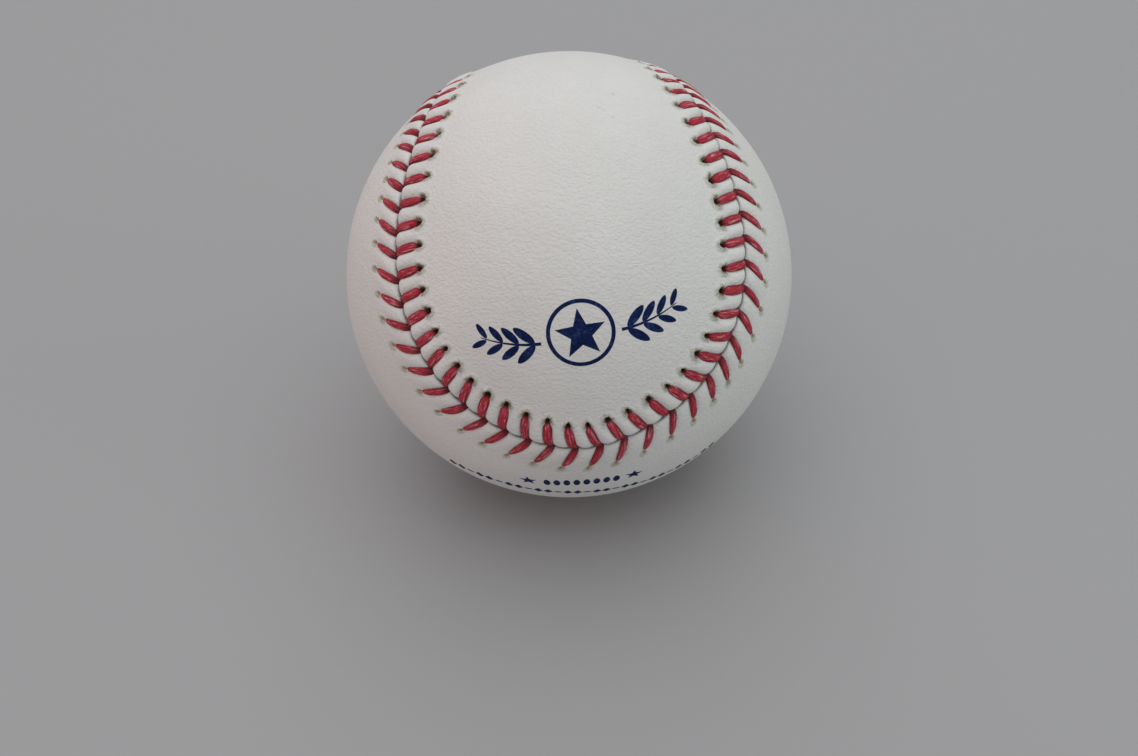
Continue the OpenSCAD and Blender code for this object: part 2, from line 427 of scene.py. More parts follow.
def legPoints(side, k):
    # Rings of points around one leg, with each one's share across, share of the way to the hole, and number
    sign = 1 if side == 0 else -1
    t = np.linspace(0, 1, thread["rings"])
    eased = (1 - thread["ringEase"]) * t + thread["ringEase"] * (0.5 - 0.5 * np.cos(t * math.pi))
    offs, highs, wides, thicks = (thread[name][side] for name in ("off", "high", "halfWide", "halfThick"))
    off = offs[0] + (offs[-1] - offs[0]) * eased
    reach = 1 + legReach[side][k] / stitch["holeInset"]
    run = stitchRun(k) + legAhead(side, k, off * reach * mm)
    out = beside(run, sign * off * reach * mm)
    centre = out * (ball["radius"] + smoothCurve(off, offs, highs) * mm)[:, None]
    along = unit(np.gradient(centre, axis=0))
    across = unit(np.cross(out, along))
    up = unit(np.cross(along, across))

    column = np.arange(legSides)
    legSpin, panelSpin = thread["spins"]
    spin = (k * legSpin + side * panelSpin) * math.tau
    turn = ((column * math.pi - spin) / thread["plies"])[None] - math.pi * thread["twist"] * t[:, None]
    ply = 1 + thread["plyDeep"] * np.where(column % 2 == 0, 1, -1)
    wide = smoothCurve(off, offs, wides) * legWide[side][k] * mm
    thick = smoothCurve(off, offs, thicks) * mm
    c, s = np.cos(turn), np.sin(turn)
    x = np.sign(c) * np.abs(c) ** thread["flatPower"] * wide[:, None] * ply
    z = np.sign(s) * np.abs(s) ** thread["flatPower"] * thick[:, None] * ply
    points = centre[:, None] + across[:, None] * x[..., None] + up[:, None] * z[..., None]
    way = np.broadcast_to(off[:, None], x.shape) / thread["hole"][side]
    legStep, panelStep = thread["idSteps"]
    return points, np.stack([x / wide[:, None], way, z / mm + k * legStep + side * panelStep], -1)


def straightTube():
    # A closed tube, and the ring and the column that each of its points takes on a leg
    rings = thread["rings"]
    bm = bmesh.new()
    bmesh.ops.create_cone(bm, cap_ends=True, segments=legSides, radius1=1, radius2=1, depth=rings - 1)
    lengthwise = [e for e in bm.edges if e.verts[0].co.z != e.verts[1].co.z]
    bmesh.ops.subdivide_edges(bm, edges=lengthwise, cuts=rings - 2)
    tube = bpy.data.meshes.new("straightTube")
    bm.to_mesh(tube)
    x, y, z = np.array([v.co for v in bm.verts]).T
    bm.free()
    ring = np.rint(z + (rings - 1) / 2).astype(int)
    column = np.rint(np.arctan2(y, x) / (math.tau / legSides)).astype(int) % legSides
    return tube, ring, column


def makeThread(name, first):
    tube, ring, column = straightTube()
    bm = bmesh.new()
    points, spaces = [], []
    for k in range(stitch["count"]):
        legCo, legSpace = legPoints((k + first) % 2, k)
        bm.from_mesh(tube)
        points.append(legCo[ring, column])
        spaces.append(legSpace[ring, column])
    mesh = bpy.data.meshes.new(name)
    bm.to_mesh(mesh)
    bm.free()
    bpy.data.meshes.remove(tube)
    mesh.vertices.foreach_set("co", towardsRest(np.concatenate(points)).ravel())
    layer = mesh.attributes.new("legSpace", "FLOAT_VECTOR", "POINT")
    layer.data.foreach_set("vector", np.concatenate(spaces).ravel())
    mesh.shade_smooth()
    faceOutwards(mesh)
    return addObject(name, mesh)


# Prints, in millimetres and degrees: a star in a ring between two leaf sprigs, and rows of small marks
ink = {
    "above": 0.02,
    "below": 0.05,
    "spacing": 0.5,
    "margin": 0.2,
    "crest": {
        "at": (0.8, 24.2), "turn": 6.0, "ringOut": 5.1, "ringIn": 4.5, "ringSteps": 72,
        "starAt": (0, -0.15), "starOut": 3.9, "starIn": 1.65,
        "sprigFrom": 6.0, "sprigLong": 9.0, "sprigRise": 1.9, "sprigDip": 0.35, "sprigSteps": 17,
        "stemWide": 0.5, "stemTaper": 0.75,
        "leaves": 4, "leafFrom": 0.08, "leafSpan": 0.8, "leafLong": 4.0, "leafWide": 1.4, "leafTaper": 0.38,
        "leafAngle": 0.72, "leafGap": 0.28,  # angle in radians
    },
    "row": {
        "azimuths": (-39.5, 41.0), "count": 29, "places": (-40, -30, -19, -7, 5, 18, 30, 42),
        "elevations": (-27.0, -28.4, -30.6, -32.0, -32.8, -32.6, -31.4, -28.6), "high": 2.3, "wide": 1.5,
        "dashLong": 1.35, "dashHigh": 0.63,
    },
    "shortRow": {
        "azimuths": (-10.2, 8.6), "count": 8, "elevation": -24.3, "high": 2.3, "wide": 1.1,
        "starAzimuths": (-15.3, 13.4), "starRise": 0.4, "starOut": 1.45, "starIn": 0.609,
    },
    "leafSteps": 14,
    "leafPower": 1.2,
}


def frameAt(azimuth, elevation, turned):
    # Outward, rightward and upward unit vectors at a place on the ball as it sits
    a, e, t = map(math.radians, (azimuth, elevation, turned))
    out = np.array([math.cos(e) * math.sin(a), -math.cos(e) * math.cos(a), math.sin(e)])
    right = np.array([math.cos(a), math.sin(a), 0.0])
    up = np.cross(out, right)
    return out, right * math.cos(t) + up * math.sin(t), up * math.cos(t) - right * math.sin(t)


def leaf(centre, angle, long, wide):
    # Pointed at both ends
    t = np.linspace(0, math.pi, ink["leafSteps"])
    x = -np.cos(t) * long / 2
    y = np.sin(t) ** ink["leafPower"] * wide / 2
    flat = np.concatenate([np.stack([x, -y], -1), np.stack([x, y], -1)[-2:0:-1]])
    c, s = math.cos(angle), math.sin(angle)
    return flat @ np.array([[c, s], [-s, c]]) + centre


def star(centre, outer, inner):
    angles = math.pi / 2 + np.arange(10) * math.pi / 5
    radii = np.where(np.arange(10) % 2 == 0, outer, inner)
    return np.stack([np.cos(angles) * radii, np.sin(angles) * radii], -1) + centre


def circle(radius, steps):
    angles = np.arange(steps) * math.tau / steps
    return np.stack([np.cos(angles) * radius, np.sin(angles) * radius], -1)


def sprigOutlines():
    # The stem and the leaves of the right-hand sprig
    made = ink["crest"]
    along = np.linspace(0, 1, made["sprigSteps"])
    x = made["sprigFrom"] + made["sprigLong"] * along
    y = made["sprigRise"] * (along ** 2 - made["sprigDip"])
    half = made["stemWide"] / 2 * (1 - made["stemTaper"] * along)
    outlines = [np.concatenate([np.stack([x, y - half], -1), np.stack([x, y + half], -1)[::-1]])]
    for i in range(made["leaves"]):
        at = made["leafFrom"] + made["leafSpan"] * i / (made["leaves"] - 1)
        root = np.array([np.interp(at, along, x), np.interp(at, along, y)])
        stemAngle = math.atan2(2 * made["sprigRise"] * at, made["sprigLong"])
        size = 1 - made["leafTaper"] * at
        for side in (1, -1):
            angle = stemAngle + side * made["leafAngle"]
            reach = made["leafLong"] * size / 2 + made["leafGap"]
            centre = root + np.array([math.cos(angle), math.sin(angle)]) * reach
            outlines.append(leaf(centre, angle, made["leafLong"] * size, made["leafWide"] * size))
    return outlines


def crestShapes():
    # Each shape is an outline and the outline of its hole, if it has one
    made = ink["crest"]
    ring = tuple(circle(made[radius], made["ringSteps"]) for radius in ("ringOut", "ringIn"))
    sprig = sprigOutlines()
    mirrored = [(outline * (-1, 1))[::-1] for outline in sprig]
    whole = [star(made["starAt"], made["starOut"], made["starIn"])] + sprig + mirrored
    shapes = [ring] + [(outline, None) for outline in whole]
    return [(shape, made["at"], made["turn"]) for shape in shapes]


def rowShapes():
    made, printed = ink["row"], []
    elevations = (made["places"], made["elevations"])
    for i, azimuth in enumerate(np.linspace(*made["azimuths"], made["count"])):
        elevation = np.interp(azimuth, *elevations)
        rise = np.interp(azimuth + 1, *elevations) - np.interp(azimuth - 1, *elevations)
        if i % 3 == 2:
            shape = leaf((0, 0), 0.0, made["dashLong"], made["dashHigh"])
        else:
            x, y = made["wide"] / 2, made["high"] / 2
            shape = np.array([(x, 0), (0, y), (-x, 0), (0, -y)])
        printed.append(((shape, None), (azimuth, elevation), math.degrees(math.atan2(rise, 2))))
    made = ink["shortRow"]
    for azimuth in np.linspace(*made["azimuths"], made["count"]):
        shape = leaf((0, 0), math.pi / 2, made["high"], made["wide"])
        printed.append(((shape, None), (azimuth, made["elevation"]), 0.0))
    for azimuth in made["starAzimuths"]:
        shape = star((0, 0), made["starOut"], made["starIn"])
        printed.append(((shape, None), (azimuth, made["elevation"] + made["starRise"]), 0.0))
    return printed


def within(outline, points):
    # Which points lie within a closed outline, by counting crossings
    x, y = points[:, 0], points[:, 1]
    hit = np.zeros(len(points), bool)
    for (x0, y0), (x1, y1) in zip(outline, np.roll(outline, -1, axis=0)):
        if y0 != y1:
            hit ^= ((y0 > y) != (y1 > y)) & (x < (x1 - x0) * (y - y0) / (y1 - y0) + x0)
    return hit


def edgeGap(outline, points):
    # Distance from points to a closed outline
    best = np.full(len(points), np.inf)
    for a, b in zip(outline, np.roll(outline, -1, axis=0)):
        span = b - a
        t = np.clip((points - a) @ span / (span @ span), 0, 1)
        best = np.minimum(best, np.linalg.norm(points - a - t[:, None] * span, axis=1))
    return best


def finer(outline):
    # The same outline with points no further apart than the spacing
    made = []
    for a, b in zip(outline, np.roll(outline, -1, axis=0)):
        parts = max(1, math.ceil(np.linalg.norm(b - a) / ink["spacing"]))
        made += [a + (b - a) * i / parts for i in range(parts)]
    return np.array(made)


def printShape(shape, at, turned, points, faces):
    # One closed flake of ink over the leather, from an outline in millimetres with an optional hole
    outer = finer(shape[0])
    hole = np.zeros((0, 2)) if shape[1] is None else finer(shape[1])
    lines = [np.arange(low, high, ink["spacing"]) for low, high in zip(outer.min(0), outer.max(0))]
    grid = np.stack(np.meshgrid(*lines), -1).reshape(-1, 2)
    keep = within(outer, grid) & (edgeGap(outer, grid) > ink["margin"])
    if len(hole):
        keep &= ~within(hole, grid) & (edgeGap(hole, grid) > ink["margin"])
    flat = np.concatenate([outer, hole, grid[keep]])
    n, h = len(outer), len(hole)
    edges = [(i, (i + 1) % n) for i in range(n)] + [(n + i, n + (i + 1) % h) for i in range(h)]
    found = delaunay_2d_cdt([Vector(p) for p in flat], edges, [], 0, tiny)
    origin = [o[0] for o in found[3]]

    out, right, up = frameAt(*at, turned)
    away = np.linalg.norm(flat, axis=1)
    way = flat / np.maximum(away, tiny)[:, None]
    swept = (away * mm / ball["radius"])[:, None]
    directions = out * np.cos(swept) + (way[:, :1] * right + way[:, 1:] * up) * np.sin(swept)
    leatherRadius = ball["radius"] + swell(directions @ np.array(restTurn))
    start, total = len(points), len(flat)
    for lift in (ink["above"], -ink["below"]):
        points.extend((directions * (leatherRadius + lift * mm)[:, None]).tolist())
    for face in found[2]:
        corners = [origin[i] for i in face]
        middle = flat[corners].mean(0)[None]
        if within(outer, middle)[0] and not (h and within(hole, middle)[0]):
            faces.append([start + i for i in corners])
            faces.append([start + total + i for i in corners[::-1]])
    for i, j in edges:
        faces.append([start + i, start + total + i, start + total + j, start + j])


def makeInk(name, printed):
    points, faces = [], []
    for shape, at, turned in printed:
        printShape(shape, at, turned, points, faces)
    mesh = bpy.data.meshes.new(name)
    mesh.from_pydata(points, [], faces)
    faceOutwards(mesh)
    return addObject(name, mesh)


def newMaterial(name):
    material = bpy.data.materials.new(name)
    material.use_nodes = True
    return material, material.node_tree, material.node_tree.nodes["Principled BSDF"]


def put(tree, socket, value):
    # A number or a colour goes on the socket itself, and another node's output is linked to it
    if isinstance(value, bpy.types.NodeSocket):
        tree.links.new(value, socket)
    else:
        socket.default_value = (*value[:3], 1) if socket.type == "RGBA" else value


def setValues(tree, node, **values):
    # Settings and input values of a node, where an underscore may stand for a space in an input's name
    for key, value in values.items():
        if hasattr(node, key):
            setattr(node, key, value)
        else:
            put(tree, node.inputs[key.replace("_", " ")], value)


def addNode(tree, kind, *inputs, **values):
    # The inputs are values for the node's first sockets
    made = tree.nodes.new(kind)
    setValues(tree, made, **values)
    for socket, value in zip(made.inputs, inputs):
        put(tree, socket, value)
    return made


def objectPlace(tree):
    return addNode(tree, "ShaderNodeTexCoord").outputs["Object"]


def mapped(tree, vector, **values):
    return addNode(tree, "ShaderNodeMapping", vector, **values).outputs[0]


def ramp(tree, source, stops):
    made = addNode(tree, "ShaderNodeValToRGB", source)
    bar = made.color_ramp
    while len(bar.elements) < len(stops):
        bar.elements.new(0.5)
    for element, (place, colour) in zip(bar.elements, stops):
        element.position = place
        element.color = (*colour, 1)
    return made.outputs["Color"]


def mixColour(tree, share, first, second, blend="MIX"):
    made = addNode(tree, "ShaderNodeMix", share, data_type="RGBA", blend_type=blend)
    put(tree, made.inputs[6], first)
    put(tree, made.inputs[7], second)
    return made.outputs[2]


def maths(tree, operation, *values):
    return addNode(tree, "ShaderNodeMath", *values, operation=operation).outputs[0]


def times(tree, first, second):
    return maths(tree, "MULTIPLY", first, second)


def plus(tree, first, second):
    return maths(tree, "ADD", first, second)


def blended(tree, first, second, shares):
    # The sum of two values, each times its share
    return plus(tree, times(tree, first, shares[0]), times(tree, second, shares[1]))


def noiseAt(tree, vector, scale, detail=3.0, roughness=0.5, distortion=0.0):
    return addNode(tree, "ShaderNodeTexNoise", vector, Scale=scale, Detail=detail, Roughness=roughness,
                   Distortion=distortion).outputs["Fac"]


def bumpFrom(tree, height, strength, distance, normal=None):
    made = addNode(tree, "ShaderNodeBump", Height=height, Strength=strength, Distance=distance)
    if normal is not None:
        tree.links.new(normal, made.inputs["Normal"])
    return made.outputs["Normal"]


def stepped(tree, value, low, high, start=0.0, end=1.0):
    # A soft step from start to end while the value goes from low to high
    return addNode(tree, "ShaderNodeMapRange", value, low, high, start, end,
                   interpolation_type="SMOOTHSTEP").outputs["Result"]


# Pebbled hide with soft creases, for leather and ink. A noise has a scale, detail, roughness and distortion,
# a bump strength and distance, and an edge where it begins and ends and the values there
grain = {
    "shakeScale": 420,
    "shakeReach": 0.0014,
    "lie": (0.78, 1.12, 1.12),
    "pebbles": {"Scale": 2100, "Smoothness": 0.5},
    "pebbleBump": (0.6, 0.00017),
    "wrinkles": (950, 3, 0.6, 0.8),
    "wrinkleBump": (0.6, 0.00012),
}


def grainNormal(tree, place):
    shake = addNode(tree, "ShaderNodeTexNoise", place, Scale=grain["shakeScale"]).outputs["Color"]
    small = addNode(tree, "ShaderNodeVectorMath", shake, operation="SCALE", Scale=grain["shakeReach"])
    bent = addNode(tree, "ShaderNodeVectorMath", place, small.outputs[0], operation="ADD")
    lie = mapped(tree, bent.outputs[0], Scale=grain["lie"])
    cells = addNode(tree, "ShaderNodeTexVoronoi", lie, feature="SMOOTH_F1", **grain["pebbles"])
    pebbles = maths(tree, "SUBTRACT", 1.0, cells.outputs["Distance"])
    normal = bumpFrom(tree, pebbles, *grain["pebbleBump"])
    return bumpFrom(tree, noiseAt(tree, lie, *grain["wrinkles"]), *grain["wrinkleBump"], normal)


# What both panels share, then what is each panel's own
hide = {
    "noises": {"coarse": (1250, 2, 0.6), "fine": (4200, 2, 0.6), "cloudy": (60, 4, 0.6),
               "mottled": (1900, 2, 0.6), "shredded": (3000, 2, 0.6)},
    "raggedShares": (1.3, 0.7),
    "tornReach": 1.5,
    "baseTones": [(0.3, (0.80, 0.795, 0.775)), (0.7, (0.85, 0.845, 0.83))],
    "stainEdge": (1.3, 2.5, 1.0, 0.0),
    "stainFrom": (-1.4, -0.2),
    "ringEdge": (1.05, 1.5, 1.0, 0.0),
    "ringShare": 0.8,
    # Painted shade in the stitch hole, mottled with brown stain
    "holeEdge": (0.45, 0.92, 1.0, 0.0),
    "holeMood": (0.0, 1.0, 0.62, 1.0),
    "mottleEdge": (0.45, 0.58),
    "mottleFrom": (-0.7, 0.8, 0.25, 1.0),
    "mottleMood": (0.0, 1.0, 1.0, 0.45),
    "shredEdge": (0.54, 0.62),
    "shredFrom": (0.2, 0.7),
    "shredShare": 0.75,
    # Painted shade: the seam crease darkened nearly to black, fading out away from the seam
    "seamShadeEdge": (0.12, 0.42, 0.76, 0.0),
    "seamShadeTone": (0.035, 0.030, 0.022),
    "scuffEdge": (0.3, 1.0),
    "scuffTone": (0.45, 0.44, 0.42),
    "fineBump": (0.5, 0.00008),
    "frayEdge": (1.0, 3.0, 1.0, 0.0),
    "frayBump": (0.9, 0.00028),
    "rough": 0.48,
    "roughShares": (0.14, 0.3),
    "moodSteps": 10,
    "scuffMottle": 2,
    "shader": {"IOR": 1.42, "Specular IOR Level": 0.4},
}
# The first hole tone of each panel is painted shade in the hole, the second a brown stain mottled into it
leatherLooks = (
    {"name": "frontLeather", "stainShare": 0.7, "ringTone": (0.20, 0.145, 0.085),
     "stainTones": [(0.35, (0.26, 0.22, 0.13)), (0.65, (0.60, 0.57, 0.45))],
     "holeShadeAndStainTones": ((0.036, 0.021, 0.013), (0.25, 0.20, 0.13)), "shredTone": (0.58, 0.52, 0.40), "scuffs": (
         {"at": (5.71, -6.47, 36.1), "turn": (0.059, 0.227, -0.592), "half": (1.6, 0.13, 3), "share": 0.45},
         {"at": (7.58, -8.22, 35.4), "turn": (0, 0, 0), "half": (0.35, 0.3, 3), "share": 0.35},
         {"at": (8.02, -2.83, 36.13), "turn": (0, 0, 0), "half": (0.4, 0.45, 3), "share": 0.3})},
    {"name": "sideLeather", "stainShare": 0.5, "ringTone": (0.50, 0.44, 0.31),
     "stainTones": [(0.35, (0.50, 0.46, 0.34)), (0.65, (0.70, 0.67, 0.57))],
     "holeShadeAndStainTones": ((0.32, 0.26, 0.17), (0.42, 0.36, 0.25)), "shredTone": (0.68, 0.63, 0.52), "scuffs": ()},
)


def leatherMaterial(look):
    material, tree, shader = newMaterial(look["name"])
    place = objectPlace(tree)
    holeSpot = addNode(tree, "ShaderNodeAttribute", attribute_name="holeSpot").outputs["Vector"]
    across, along, number = addNode(tree, "ShaderNodeSeparateXYZ", holeSpot).outputs
    seamOff = addNode(tree, "ShaderNodeAttribute", attribute_name="seamOff").outputs["Fac"]
    coarse, fine, cloudy, mottled, shredded = (noiseAt(tree, place, *n) for n in hide["noises"].values())
    ragged = blended(tree, coarse, fine, hide["raggedShares"])
    far = maths(tree, "SQRT", plus(tree, times(tree, across, across), times(tree, along, along)))
    torn = plus(tree, far, times(tree, maths(tree, "SUBTRACT", ragged, 1.0), hide["tornReach"]))
    mood = addNode(tree, "ShaderNodeTexWhiteNoise", noise_dimensions="1D",
                   W=maths(tree, "ROUND", times(tree, number, hide["moodSteps"]))).outputs["Value"]

    # Stain around the hole, then the torn ring, painted shade in the hole mottled with brown stain, pale
    # shreds and painted shade in the seam crease
    stain = times(tree, stepped(tree, torn, *hide["stainEdge"]), stepped(tree, along, *hide["stainFrom"]))
    stainTone = ramp(tree, fine, look["stainTones"])
    colour = ramp(tree, cloudy, hide["baseTones"])
    colour = mixColour(tree, times(tree, stain, look["stainShare"]), colour, stainTone)
    ring = stepped(tree, torn, *hide["ringEdge"])
    colour = mixColour(tree, times(tree, ring, hide["ringShare"]), colour, look["ringTone"])
    mottle = times(tree, stepped(tree, along, *hide["mottleFrom"]), stepped(tree, mood, *hide["mottleMood"]))
    mottle = times(tree, stepped(tree, mottled, *hide["mottleEdge"]), mottle)
    # Painted shade in the hole, near black on the front panel, mottled with brown stain
    hole = times(tree, stepped(tree, torn, *hide["holeEdge"]), stepped(tree, mood, *hide["holeMood"]))
    colour = mixColour(tree, hole, colour, mixColour(tree, mottle, *look["holeShadeAndStainTones"]))
    shreds = times(tree, stepped(tree, shredded, *hide["shredEdge"]), stepped(tree, far, *hide["shredFrom"]))
    shreds = times(tree, shreds, times(tree, ring, hide["shredShare"]))
    colour = mixColour(tree, shreds, colour, look["shredTone"])
    # Painted shade: the leather in the seam crease darkened nearly to black
    colour = mixColour(tree, stepped(tree, seamOff, *hide["seamShadeEdge"]), colour, hide["seamShadeTone"])
    for scuff in look["scuffs"]:
        near = mapped(tree, place, vector_type="TEXTURE", Location=Vector(scuff["at"]) * mm,
                      Rotation=scuff["turn"], Scale=Vector(scuff["half"]) * mm)
        reach = addNode(tree, "ShaderNodeVectorMath", near, operation="LENGTH").outputs["Value"]
        worn = stepped(tree, reach, *hide["scuffEdge"], scuff["share"], 0.0)
        worn = times(tree, worn, times(tree, coarse, hide["scuffMottle"]))
        colour = mixColour(tree, worn, colour, hide["scuffTone"])

    frayed = times(tree, ragged, stepped(tree, far, *hide["frayEdge"]))
    normal = bumpFrom(tree, fine, *hide["fineBump"], grainNormal(tree, place))
    normal = bumpFrom(tree, frayed, *hide["frayBump"], normal)
    rough = plus(tree, blended(tree, cloudy, stain, hide["roughShares"]), hide["rough"])
    setValues(tree, shader, Base_Color=colour, Normal=normal, Roughness=rough, **hide["shader"])
    return material


# Navy print that lets a little of the hide show through
inkLook = {
    "speckle": (2600, 3, 0.7),
    "cloud": (500, 3, 0.6),
    "shares": (0.6, 0.4),
    "tones": [(0.38, (0.002, 0.008, 0.045)), (0.53, (0.004, 0.017, 0.095)), (0.68, (0.045, 0.075, 0.22))],
    "shader": {"Roughness": 0.65, "Specular IOR Level": 0.12},
}


def inkMaterial():
    material, tree, shader = newMaterial("navyInk")
    place = objectPlace(tree)
    speckle, cloud = (noiseAt(tree, place, *inkLook[name]) for name in ("speckle", "cloud"))
    colour = ramp(tree, blended(tree, speckle, cloud, inkLook["shares"]), inkLook["tones"])
    setValues(tree, shader, Base_Color=colour, Normal=grainNormal(tree, place), **inkLook["shader"])
    return material


# Waxed red thread, in the leg's own space: across, along and a number for the leg
threadLook = {
    "lie": {"Rotation": (0, 0, 0.22), "Scale": (4.2, 3.4, 4.0)},
    "fibres": (1, 4, 0.65, 0.4),
    "patches": (2.2, 3),
    "glints": (0.7, 4, 0.7),
    "tones": [(0.30, (0.19, 0.009, 0.020)), (0.43, (0.42, 0.018, 0.040)), (0.55, (0.56, 0.031, 0.062)),
              (0.68, (0.72, 0.11, 0.15))],
    "patchEdge": (0.44, 0.66, 0.0, 0.5),
    "patchTone": (0.33, 0.014, 0.032),
    # Painted highlights: whitish glints in patches along the thread
    "glintEdge": (0.51, 0.62),
    "glintPatch": (0.58, 0.42),
    "glintShare": 0.75,
    "glintTone": (0.84, 0.48, 0.50),
    # Painted shade: darker along the thread's sides, at its seam end and where it goes into the hole
    "rimEdge": (0.66, 1.0, 0.0, 0.6),
    "rimTone": (0.13, 0.008, 0.016),
    "seamEdge": (0.0, 0.30, 0.85, 0.0),
    "seamTone": (0.075, 0.006, 0.010),
    "holeEdge": (0.96, 1.05, 0.0, 0.92),
    "holeTone": (0.060, 0.010, 0.010),
    "bump": (0.7, 0.00018),
    "roughShare": 0.3,
    "rough": 0.4,
    "shader": {"Specular IOR Level": 0.25},
}


def threadMaterial():
    look = threadLook
    material, tree, shader = newMaterial("waxedRedThread")
    space = addNode(tree, "ShaderNodeAttribute", attribute_name="legSpace").outputs["Vector"]
    across, along, _ = addNode(tree, "ShaderNodeSeparateXYZ", space).outputs
    lie = mapped(tree, space, **look["lie"])
    fibres = noiseAt(tree, lie, *look["fibres"])
    patch = noiseAt(tree, space, *look["patches"])
    red = ramp(tree, fibres, look["tones"])
    red = mixColour(tree, stepped(tree, patch, *look["patchEdge"]), red, look["patchTone"])
    # Painted highlights: whitish glints in patches along the thread
    glint = stepped(tree, noiseAt(tree, lie, *look["glints"]), *look["glintEdge"])
    glint = times(tree, times(tree, glint, stepped(tree, patch, *look["glintPatch"])), look["glintShare"])
    red = mixColour(tree, glint, red, look["glintTone"])
    # Painted shade along the thread's sides, at its seam end and at its hole end
    for end, value in (("rim", maths(tree, "ABSOLUTE", across)), ("seam", along), ("hole", along)):
        red = mixColour(tree, stepped(tree, value, *look[end + "Edge"]), red, look[end + "Tone"])
    rough = plus(tree, times(tree, fibres, look["roughShare"]), look["rough"])
    normal = bumpFrom(tree, fibres, *look["bump"])
    setValues(tree, shader, Base_Color=red, Normal=normal, Roughness=rough, **look["shader"])
    return material


# Yarn wound round and round: fine strands that cross in three directions
yarn = {
    "turns": ((0.3, 0.2, 0.0), (1.4, 0.5, 0.9), (0.6, 1.5, 0.4)),
    "wave": {"Distortion": 2.5, "Detail Scale": 0.4},
    "under": 0.9,
    "fuzz": (1400, 4, 0.7),
    "shares": (0.7, 0.3),
    "places": (0.25, 0.85),
    "bump": (0.7, 0.0004),
    "shader": {"Roughness": 0.9, "Sheen Weight": 0.3},
    "kinds": {
        "greyWool": {"scale": 380, "tones": ((0.10, 0.10, 0.10), (0.42, 0.41, 0.40))},
        "whiteWool": {"scale": 420, "tones": ((0.45, 0.42, 0.36), (0.85, 0.83, 0.78))},
        "finishCotton": {"scale": 700, "tones": ((0.55, 0.52, 0.45), (0.90, 0.88, 0.82))},
    },
}


def yarnMaterial(name):
    look = yarn["kinds"][name]
    material, tree, shader = newMaterial(name)
    place = objectPlace(tree)
    layers = []
    for turn in yarn["turns"]:
        turned = mapped(tree, place, Rotation=turn)
        wave = addNode(tree, "ShaderNodeTexWave", turned, Scale=look["scale"], **yarn["wave"])
        layers.append(wave.outputs["Fac"])
    strands = layers[0]
    for layer in layers[1:]:
        strands = maths(tree, "MAXIMUM", times(tree, strands, yarn["under"]), layer)
    tone = blended(tree, strands, noiseAt(tree, place, *yarn["fuzz"]), yarn["shares"])
    colour = ramp(tree, tone, list(zip(yarn["places"], look["tones"])))
    setValues(tree, shader, Base_Color=colour, Normal=bumpFrom(tree, tone, *yarn["bump"]), **yarn["shader"])
    return material


# Moulded rubber, cloudy and finely specked
rubber = {
    "speck": (700, 5, 0.65),
    "cloud": (90, 3),
    "shares": (0.5, 0.5),
    "places": (0.3, 0.7),
    "bump": (0.25, 0.0001),
    "roughShare": 0.3,
    "rough": 0.5,
    "kinds": {
        "redRubber": ((0.26, 0.03, 0.02), (0.42, 0.06, 0.045)),
        "blackRubber": ((0.012, 0.012, 0.012), (0.035, 0.035, 0.036)),
    },
}


def rubberMaterial(name):
    material, tree, shader = newMaterial(name)
    place = objectPlace(tree)
    speck, cloud = (noiseAt(tree, place, *rubber[kind]) for kind in ("speck", "cloud"))
    tones = list(zip(rubber["places"], rubber["kinds"][name]))
    colour = ramp(tree, blended(tree, speck, cloud, rubber["shares"]), tones)
    rough = plus(tree, times(tree, cloud, rubber["roughShare"]), rubber["rough"])
    normal = bumpFrom(tree, speck, *rubber["bump"])
    setValues(tree, shader, Base_Color=colour, Normal=normal, Roughness=rough)
    return material


# Pressed cork: crumbs of several browns with darker gaps between them
cork = {
    "scale": 650,
    "tones": [(0.0, (0.20, 0.10, 0.045)), (0.35, (0.42, 0.25, 0.12)), (1.0, (0.60, 0.41, 0.23))],
    "gapTones": [(0.0, (0.3, 0.3, 0.3)), (0.1, (1, 1, 1))],
    "bump": (0.4, 0.00015),
    "shader": {"Roughness": 0.85},
}


def corkMaterial():
    material, tree, shader = newMaterial("pressedCork")
    place = objectPlace(tree)
    crumbs, edges = (addNode(tree, "ShaderNodeTexVoronoi", place, feature=feature, Scale=cork["scale"])
                     for feature in ("F1", "DISTANCE_TO_EDGE"))
    shade = addNode(tree, "ShaderNodeSeparateColor", crumbs.outputs["Color"]).outputs[0]
    gaps = ramp(tree, edges.outputs["Distance"], cork["gapTones"])
    colour = mixColour(tree, 1.0, ramp(tree, shade, cork["tones"]), gaps, "MULTIPLY")
    setValues(tree, shader, Base_Color=colour, Normal=bumpFrom(tree, gaps, *cork["bump"]), **cork["shader"])
    return material


def dress(piece, material, slot=None, *nodes):
    piece.data.materials.clear()
    piece.data.materials.append(material)
    if nodes:
        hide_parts(*nodes)
        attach(piece, "root")


coverFront = makeCover("coverFrontLeather", 0)
dress(coverFront, leatherMaterial(leatherLooks[0]), "leather", "cover_front")
coverSides = makeCover("coverSidesLeather", 1)
dress(coverSides, leatherMaterial(leatherLooks[1]), "leather", "cover_sides")
print("covers made", len(coverFront.data.polygons), len(coverSides.data.polygons))

navyInk = inkMaterial()
printedCrest = makeInk("printedCrest", crestShapes())
dress(printedCrest, navyInk)
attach(printedCrest, "root")
printedRows = makeInk("printedRows", rowShapes())
dress(printedRows, navyInk)
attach(printedRows, "root")
print("prints made", len(printedCrest.data.polygons), len(printedRows.data.polygons))

redThread = threadMaterial()
threadOne = makeThread("redThreadOne", 0)
dress(threadOne, redThread, "red_thread", "red_thread_one")
threadTwo = makeThread("redThreadTwo", 1)
dress(threadTwo, redThread, "red_thread", "red_thread_two")
print("threads made", len(threadOne.data.polygons))

